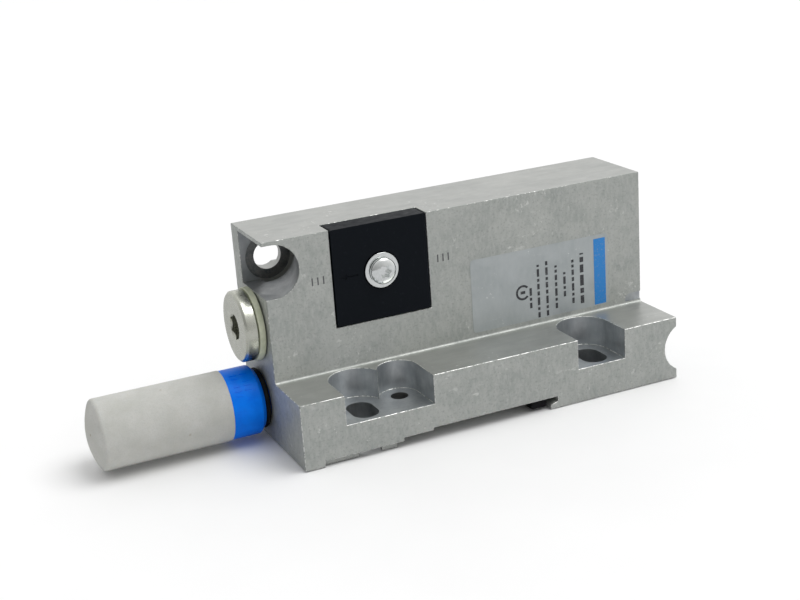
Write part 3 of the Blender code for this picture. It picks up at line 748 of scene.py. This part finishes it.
def make_housing(materials):
    """The large cuts come before the edges are rounded, and the small ones after."""
    # The fourth material is the bored tone darkened as painted shade; the fifth is painted shade
    # for holes, ports, ducts and the spot face.
    cast, milled, bored, painted_shade_bored, dark, edge = materials
    casting = prism("end_plate_casting", "X", block_profile(), 0, LENGTH, [cast, edge, milled])
    boolean(casting, selector_recess([bored]) + tie_pocket([painted_shade_bored]) + ledge_pockets([bored])
            + underside_cuts([cast]))
    clean(casting)
    slots = casting.data.materials
    tops = [place(0, 0, z).z for z in (HEIGHT, LEDGE_TOP)]
    for face in casting.data.polygons:
        if face.normal.z > 0.99 and min(abs(face.center.z - top) for top in tops) < MM / 10:
            face.material_index = slots.find(milled.name)
    round_edges(casting, CASTING_EDGE, 2, CASTING_SHARP, slots.find(edge.name))
    apply_modifiers(casting)
    boolean(casting, ledge_holes([painted_shade_bored], [dark]) + tie_hole([dark], [milled]) + port_cuts([dark])
            + back_cuts([bored]) + cast_recess([bored]) + selector_holes([bored]))
    clean(casting)
    floors = [pocket[3] for pocket in LEDGE_POCKETS]    # where the rims of the holes lie
    mark_edges(casting, (12, 1, min(floors) - 0.1), (90, 13, max(floors) + 0.1))
    bored_slot = casting.data.materials.find(bored.name)
    round_edges(casting, HOLE_EDGE, 2, CASTING_SHARP, bored_slot, marked=True)
    apply_modifiers(casting)
    flat_faces(casting)
    return piece_of(casting, "block", "cast_aluminium", "housing")


# ---------------------------------------------------------------- selector

def make_selector_plate(material):
    low, high = PLATE_LOW, PLATE_HIGH
    corner, counterbore, sunk = 0.5, 4.85, 0.8
    outline = rounded_box(low.x, high.x, low.z, high.z, corner, 4)
    plate = prism("selector_plate_moulding", "Y", outline, low.y, high.y, [material])
    centre = (SCREW_X, SCREW_Z)
    cuts = [bar("bore", "Y", centre, SCREW_HOLE, low.y - PAST, high.y + PAST, 48),
            bar("counterbore", "Y", centre, counterbore, low.y - PAST, low.y + sunk, 72)]
    gasket_low, gasket_high = span("selector_gasket")
    room = Vector((CLEARANCE,) * 3)
    pocket_high = gasket_high + room
    pocket_high.y = high.y + PAST
    cuts.append(block("pocket", gasket_low - room, pocket_high))
    cuts.append(arrow(low))
    boolean(plate, cuts, keep_materials=False)
    clean(plate)
    round_edges(plate, 0.15, 3)
    return piece_of(plate, "selector", "black_plastic", "selector_plate")


def arrow(low):
    """Plain arrow sunk into the plate's front, pointing left."""
    left, middle = low.x + 1.7, SCREW_Z - 0.1
    outline = [(left, middle), (left + 1.7, middle - 0.8), (left + 1.7, middle - 0.2),
               (left + 4.8, middle - 0.2), (left + 4.8, middle + 0.2), (left + 1.7, middle + 0.2),
               (left + 1.7, middle + 0.8)]
    return prism("arrow", "Y", outline, low.y - PAST, low.y + 0.25)


def make_washer(material):
    low, high = span("selector_washer")
    outer = (high.x - low.x) / 2
    inner = 2.05
    profile = rounded([(inner, low.y), (outer, low.y), (outer, high.y), (inner, high.y),
                       (inner, low.y), (outer, low.y)], 0.14)[1:-1]
    profile = list(dict.fromkeys(profile))
    washer = lathe("selector_flat_washer", profile, (SCREW_X, SCREW_Z), "Y", [material])
    return piece_of(washer, "selector", "zinc_steel", "selector_washer")


def screw_thread(crest, root, pitch, first, last, hand=1.0):
    """Radius along a threaded stretch: a ridge that winds once per pitch and fades at the ends."""
    def radius_at(radius, along, angle):
        if not first < along < last:
            return radius
        turn = along / pitch - hand * angle / math.tau
        ridge = abs((turn % 1.0) * 2 - 1)
        fade = min(1.0, (along - first) / pitch, (last - along) / (0.6 * pitch))
        return root + (crest - root) * max(0.0, min(1.0, ridge * 1.25 - 0.1)) * fade
    return radius_at


def threaded_stretch(radius, first, last, pitch, per_pitch=8):
    count = round((last - first) / pitch * per_pitch)
    return [(radius, first + (last - first) * i / count) for i in range(count + 1)]


def make_screw(material):
    low, high = span("selector_screw")
    head = (high.x - low.x) / 2
    seat = span("selector_washer")[0].y - CLEARANCE
    shank, crest, root, pitch = 1.75, 1.95, 1.6, 0.7
    rim, rim_edge, tip, tip_length = 0.5, 0.1, 1.3, 0.5
    first, last = seat + 8.4, high.y - tip_length
    rise = seat - rim - low.y
    dome = [(head * math.sin(a), seat - rim - rise * math.cos(a))
            for a in (math.radians(90 * i / 16) for i in range(17))]
    dome[0] = (0, low.y)
    profile = dome + [(head, seat - rim_edge), (head - rim_edge, seat), (shank, seat)]
    profile += threaded_stretch(shank, first, last, pitch) + [(tip, high.y), (0, high.y)]
    thread = screw_thread(crest, root, pitch, first, last)
    screw = lathe("selector_dome_screw", profile, (SCREW_X, SCREW_Z), "Y", [material], 72, thread)
    middle, lobe, depth = 1.52, 0.24, 1.5
    outline = []
    for i in range(96):
        a = math.tau * i / 96
        r = middle + lobe * math.cos(6 * a)
        outline.append((SCREW_X + r * math.cos(a), SCREW_Z + r * math.sin(a)))
    socket = prism("socket", "Y", outline, low.y - PAST, low.y + depth)
    boolean(screw, [socket], keep_materials=False)
    smooth(screw)
    return piece_of(screw, "screw", "zinc_steel", "selector_screw")


# ---------------------------------------------------------------- plug and muffler

def make_plug(material):
    low, high = span("blanking_plug")
    head = (high.y - low.y) / 2
    back = span("plug_seal_ring")[0].x - CLEARANCE
    thread_end = high.x - THREAD_CHAMFER
    chamfer, key, depth = 0.5, 6.0, 5.0
    outer = [(0, low.x), (head - chamfer, low.x), (head, low.x + chamfer), (head, back),
             (THREAD_ROOT, back)]
    profile = [(0, low.x)] + rounded(outer, FITTING_EDGE)[1:-1]
    profile += threaded_stretch(THREAD_ROOT, back, thread_end, THREAD_PITCH)
    profile += [(THREAD_ROOT - THREAD_CHAMFER, high.x), (0, high.x)]
    thread = screw_thread(THREAD_CREST, THREAD_ROOT, THREAD_PITCH, back, thread_end)
    plug = lathe("hexagon_socket_plug", profile, (PORT_Y, PLUG_Z), "X", [material], 120, thread)
    corner = key / math.sqrt(3)
    hexagon = [(PORT_Y + corner * math.cos(a), PLUG_Z + corner * math.sin(a))
               for a in (math.radians(90 + 60 * i) for i in range(6))]
    socket = prism("socket", "X", hexagon, low.x - PAST, low.x + depth)
    hole = [(0, low.x + 0.4), (2.95, low.x + 0.4), (2.95, low.x + 5.2), (0, low.x + 6.6)]
    drill = lathe("drill", hole, (PORT_Y, PLUG_Z), "X", [], 48)
    cone = [(0, low.x - PAST), (corner + PAST, low.x - PAST), (corner - chamfer, low.x + chamfer),
            (0, low.x + chamfer)]
    mouth = lathe("mouth", cone, (PORT_Y, PLUG_Z), "X", [], 72)
    boolean(plug, [socket, drill, mouth], keep_materials=False)
    smooth(plug)
    return piece_of(plug, "plug", "passivated_steel", "blanking_plug")


def make_plug_seal(material):
    low, high = span("plug_seal_ring")
    outer = (high.y - low.y) / 2
    inner = THREAD_CREST + 0.1
    corners = [(inner, low.x), (outer, low.x), (outer, high.x), (inner, high.x)]
    profile = rounded(corners + corners[:2], 0.3, 5)[1:-1]
    ring = lathe("plug_sealing_ring", list(dict.fromkeys(profile)), (PORT_Y, PLUG_Z), "X",
                 [material], 120)
    return piece_of(ring, "plug_seal", "seal_polymer", "plug_seal_ring")


def make_muffler_base(material):
    low, high = span("muffler_base")
    band = (high.y - low.y) / 2
    shoulder = span("muffler_element")[1].x + CLEARANCE
    end = span("muffler_o_ring")[0].x
    bore, stem, chamfer = 4.3, 6.3, 1.2
    thread_end = high.x - THREAD_CHAMFER
    outer = [(bore, low.x), (stem, low.x), (stem, shoulder), (band, shoulder),
             (band, end - chamfer), (band - chamfer, end), (THREAD_ROOT, end)]
    profile = [outer[0]] + rounded(outer, FITTING_EDGE)[1:-1]
    profile += threaded_stretch(THREAD_ROOT, end, thread_end, THREAD_PITCH)
    profile += [(THREAD_ROOT - THREAD_CHAMFER, high.x), (bore, high.x)]
    thread = screw_thread(THREAD_CREST, THREAD_ROOT, THREAD_PITCH, end, thread_end)
    centre = (PORT_Y, MUFFLER_Z)
    base = lathe("muffler_threaded_base", profile, centre, "X", [material], 120, thread)
    add_grip_marks(base, band, shoulder)
    return piece_of(base, "muffler", "blue_plastic", "muffler_base")


def add_grip_marks(base, band, shoulder):
    """Two small groups of low raised bars, on opposite sides of the band."""
    first, step, skipped = 108, 8, 2
    marks = []
    for side in (0, math.pi):
        for column, along in enumerate((shoulder + 2.4, shoulder + 5.0)):
            for i in range(7):
                if (i + column) % 4 != skipped:
                    marks.append(raised_bar(side + math.radians(first + step * i), along, band))
    boolean(base, marks, "UNION", keep_materials=False)
    smooth(base)


def raised_bar(angle, along, band):
    centre = local("X", PORT_Y + band * math.cos(angle), MUFFLER_Z + band * math.sin(angle), along)
    size, edge = Vector((1.9, 0.5, 0.26)), 0.08
    shape = bmesh.new()
    bmesh.ops.create_cube(shape, size=1.0)
    bmesh.ops.scale(shape, vec=size * MM, verts=shape.verts)
    bmesh.ops.bevel(shape, geom=shape.edges, offset=edge * MM, segments=2, affect="EDGES")
    turn = Matrix.Rotation(angle - math.pi / 2, 4, "X")
    bmesh.ops.transform(shape, matrix=Matrix.Translation(centre) @ turn, verts=shape.verts)
    return from_bmesh("mark", shape)


def make_muffler_element(material):
    low, high = span("muffler_element")
    outer = (high.y - low.y) / 2 - GRAIN_ROOM
    inner, wall, reach = 6.6, 2.5, 0.27
    end = domed_end(low.x + GRAIN_ROOM, outer)
    start = end[-1][1]
    foot = high.x + reach       # closes the CAD's gap to the blue band
    side = [(outer, start + (foot - start) * i / 60) for i in range(1, 61)]
    profile = end + side + [(inner, foot), (inner, low.x + wall), (0, low.x + wall)]
    cup = lathe("porous_cup", profile, (PORT_Y, MUFFLER_Z), "X", [material], 144)
    grain = bpy.data.textures.new("sinter_grain", "CLOUDS")
    grain.noise_scale = 0.9 * MM
    grain.noise_depth = 3
    rough = cup.modifiers.new("grain", "DISPLACE")
    rough.texture = grain
    rough.texture_coords = "LOCAL"
    rough.strength = 0.09 * MM
    return piece_of(cup, "muffler", "porous_polymer", "muffler_element")


def domed_end(tip, outer):
    """A shallow dome that runs smoothly into the rounded rim."""
    dome, rim = 19.0, 1.1
    centre = tip + dome
    lean = math.asin((outer - rim) / (dome - rim))
    face = [(dome * math.sin(lean * i / 14), centre - dome * math.cos(lean * i / 14))
            for i in range(14)]
    rim_centre = centre - (dome - rim) * math.cos(lean)
    angles = [lean + (math.pi / 2 - lean) * i / 8 for i in range(9)]
    edge = [(outer - rim + rim * math.sin(a), rim_centre - rim * math.cos(a)) for a in angles]
    return face + edge


def make_o_ring(material):
    low, high = span("muffler_o_ring")
    section = (high.x - low.x) / 2
    middle = (high.y - low.y) / 2 - section
    profile = [(middle + section * math.sin(a), (low.x + high.x) / 2 - section * math.cos(a))
               for a in (math.tau * i / 24 for i in range(24))]
    ring = lathe("muffler_sealing_ring", profile, (PORT_Y, MUFFLER_Z), "X", [material], 96)
    return piece_of(ring, "muffler_seal", "rubber", "muffler_o_ring")


# ---------------------------------------------------------------- seals, pad, label and marks

def make_duct_seals(material):
    for node in SEALS:
        low, high = span(node)
        ring = prism(node + "_lip", "Y", oval(node, 0.0), low.y, high.y, [material])
        core = prism("core", "Y", oval(node, -SEAL_WIDTH), low.y - PAST, high.y + PAST)
        boolean(ring, [core], keep_materials=False)
        clean(ring)
        round_edges(ring, 0.4, 4)
        piece_of(ring, "block", "rubber", node)


def finish_cad_nodes(material):
    """The gasket and the rail pad keep their CAD shape and get rounded edges."""
    for node, width in (("selector_gasket", 0.12), ("rail_pad", 0.1)):
        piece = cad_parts[node]
        piece.data.materials.clear()
        piece.data.materials.append(material)
        round_edges(piece, width)


def print_on_wall(name, outlines, lift, thickness, material):
    """Thin printed shapes on the wall's front, lift millimetres in front of it."""
    front = WALL_FRONT - lift - thickness
    mesh_parts = [prism(name, "Y", outline, front, front + thickness, [material])
                  for outline in outlines]
    joined = join(name, mesh_parts)
    return piece_of(joined, "block", "clear_film")


def join(name, parts):
    whole = bmesh.new()
    for part in parts:
        whole.from_mesh(part.data)
    materials = list(parts[0].data.materials)
    for part in parts:
        bpy.data.objects.remove(part, do_unlink=True)
    return from_bmesh(name, whole, None, materials)


def box_outline(left, right, bottom, top):
    return [(left, bottom), (right, bottom), (right, top), (left, top)]


def dashes(x, width, bottom, top, lengths, gap):
    """A broken upright line, each stroke in turn from lengths."""
    strokes = []
    z, i = bottom, 0
    while z < top:
        end = min(top, z + lengths[i % len(lengths)])
        strokes.append(box_outline(x, x + width, z, end))
        z = end + gap
        i += 1
    return strokes


INK_LIFT = 0.06                 # how far the print on the film lies in front of the wall
INK_THICKNESS = 0.03


def make_label(film, blue, black):
    """Film with a blue bar, broken lines and an open ring, none of which says anything."""
    low, high = span("rating_label")
    outline = rounded_box(low.x, high.x, low.z, high.z, 1.0)
    sheet = prism("label_film", "Y", outline, WALL_FRONT - 0.05, WALL_FRONT - 0.02, [film])
    piece_of(sheet, "block", "clear_film", "rating_label")
    bar_outline = box_outline(92.6, 96.2, 18.9, 37.4)
    print_on_wall("label_blue_bar", [bar_outline], INK_LIFT, INK_THICKNESS, blue)
    lines = dashes(88.2, 1.1, 20.2, 34.3, (2.2, 1.4, 3.0), 0.7)
    for x, bottom, top in ((85.6, 20.8, 33.0), (83.0, 23.2, 30.0), (80.4, 20.4, 32.4),
                           (77.6, 18.9, 34.2), (75.0, 18.9, 33.6), (72.6, 22.0, 28.0)):
        lines += dashes(x, 0.7, bottom, top, (1.5, 0.8, 2.1, 1.1), 0.6)
    print_on_wall("label_lines", lines, INK_LIFT, INK_THICKNESS, black)
    centre = (70.6, 26.8)
    ring = arc(*centre, 2.1, 40, 320, 32) + arc(*centre, 1.5, 320, 40, 32)
    dash = box_outline(69.9, 71.3, 26.4, 27.2)
    print_on_wall("label_ring", [ring, dash], INK_LIFT, INK_THICKNESS, black)


def make_wall_marks(black):
    """Plain ticks either side of the selector plate."""
    ticks = [box_outline(12.0 + 1.5 * i, 12.35 + 1.5 * i, 40.3, 42.3) for i in range(3)]
    ticks += [box_outline(46.3 + 1.5 * i, 46.65 + 1.5 * i, 39.9, 41.9) for i in range(3)]
    marks = print_on_wall("setting_ticks", ticks, 0.01, INK_THICKNESS, black)


# ---------------------------------------------------------------- camera, floor and light

CAMERA_PLACE = (-102.97, -299.51, 148.27)
CAMERA_AZIMUTH = 23.6          # looks along +Y, turned this far to +X
CAMERA_DROP = 18.615           # and down
CAMERA_ROLL = -4.143
CAMERA_LENS = 64.77


def make_camera():
    azimuth, drop, roll = (math.radians(a) for a in (CAMERA_AZIMUTH, CAMERA_DROP, CAMERA_ROLL))
    ahead = Vector((math.sin(azimuth) * math.cos(drop), math.cos(azimuth) * math.cos(drop),
                    -math.sin(drop)))
    level = Vector((math.cos(azimuth), -math.sin(azimuth), 0.0))
    upright = level.cross(ahead)
    right = level * math.cos(roll) + upright * math.sin(roll)
    up = right.cross(ahead)
    turn = Matrix((right, up, -ahead)).transposed().to_4x4()
    data = bpy.data.cameras.new("camera")
    data.lens = CAMERA_LENS
    data.sensor_width = 36.0
    data.clip_start = 0.01
    camera = bpy.data.objects.new("camera", data)
    camera.matrix_world = Matrix.Translation(place(*CAMERA_PLACE)) @ turn
    bpy.context.scene.collection.objects.link(camera)
    bpy.context.scene.camera = camera


def make_floor():
    """Pale floor; the metal mirrors a dimmer one, a painted reflection: glossy rays see the floor
    grey.
    """
    shape = bmesh.new()
    bmesh.ops.create_grid(shape, x_segments=1, y_segments=1, size=3.0)
    paint = Paint("floor", (0.9, 0.9, 0.9), 0.7)
    tone = paint.ramp(paint.noise(40.0, 2.0), 0.3, 0.7)
    pale = paint.blend(tone, (0.90, 0.90, 0.90), (0.92, 0.92, 0.92))
    # Painted reflection: to glossy rays the floor turns a dimmer grey, which darkens what the metal
    # mirrors.
    rays = paint.node("ShaderNodeLightPath")
    paint.colour(paint.blend(rays.outputs["Is Glossy Ray"], pale, (0.52, 0.52, 0.53)))
    floor = from_bmesh("floor", shape, Matrix.Translation((0, 0, -0.0002)), [paint.material])


TENT_LEVEL = 0.70
TENT_SLOPE = (0.30, 0.25, 0.28)        # how much brighter towards +X, +Y and +Z
SUN_STRENGTH = 1.5
SUN_ANGLE = 42
SUN_SIDE = (0.45, -0.25, 1.0)          # the sun stands on this side


def make_world():
    """White to the camera; to the object a soft tent, brightest behind, above and at the right."""
    world = bpy.data.worlds.new("studio")
    bpy.context.scene.world = world
    world.use_nodes = True
    tree = world.node_tree
    tree.nodes.clear()
    output = tree.nodes.new("ShaderNodeOutputWorld")
    coordinates = tree.nodes.new("ShaderNodeTexCoord")
    slope = tree.nodes.new("ShaderNodeVectorMath")
    slope.operation = "DOT_PRODUCT"
    slope.inputs[1].default_value = TENT_SLOPE
    tree.links.new(coordinates.outputs["Generated"], slope.inputs[0])
    level = tree.nodes.new("ShaderNodeMath")
    level.operation = "ADD"
    level.use_clamp = False
    level.inputs[1].default_value = TENT_LEVEL
    tree.links.new(slope.outputs["Value"], level.inputs[0])
    tent = tree.nodes.new("ShaderNodeBackground")
    tree.links.new(level.outputs["Value"], tent.inputs["Strength"])
    plain = tree.nodes.new("ShaderNodeBackground")
    plain.inputs["Strength"].default_value = 1.0
    plain.inputs["Color"].default_value = (1.0, 1.0, 1.0, 1.0)
    rays = tree.nodes.new("ShaderNodeLightPath")
    mix = tree.nodes.new("ShaderNodeMixShader")
    tree.links.new(rays.outputs["Is Camera Ray"], mix.inputs["Fac"])
    tree.links.new(tent.outputs["Background"], mix.inputs[1])
    tree.links.new(plain.outputs["Background"], mix.inputs[2])
    tree.links.new(mix.outputs["Shader"], output.inputs["Surface"])


def make_sun():
    data = bpy.data.lights.new("key", "SUN")
    data.energy = SUN_STRENGTH
    data.angle = math.radians(SUN_ANGLE)
    sun = bpy.data.objects.new("key", data)
    sun.matrix_world = Vector(SUN_SIDE).to_track_quat("Z", "Y").to_matrix().to_4x4()
    bpy.context.scene.collection.objects.link(sun)


make_camera()
make_floor()
make_world()
make_sun()
bpy.context.scene.view_settings.view_transform = "Standard"

rubber_black = rubber()
zinc = zinc_steel()
# The second bored material, at level 0.38, is the same surface darkened as painted shade for the
# tie pocket and the clamp slots.
make_housing((cast_aluminium(), milled_aluminium(), bored_aluminium("bored_aluminium", 0.54),
              bored_aluminium("painted_shade_aluminium", 0.38), painted_shade_bore(), worn_edge()))
make_selector_plate(black_plastic())
make_washer(zinc)
make_screw(zinc)
make_plug(turned_steel())
make_plug_seal(seal_polymer())
make_muffler_base(blue_plastic())
make_muffler_element(porous_polymer())
make_o_ring(rubber_black)
make_duct_seals(rubber_black)
finish_cad_nodes(rubber_black)
make_label(clear_film(), ink("blue_ink", (0.015, 0.225, 0.62)),
           ink("black_ink", (0.035, 0.037, 0.042)))
make_wall_marks(ink("engraved", (0.10, 0.10, 0.105)))
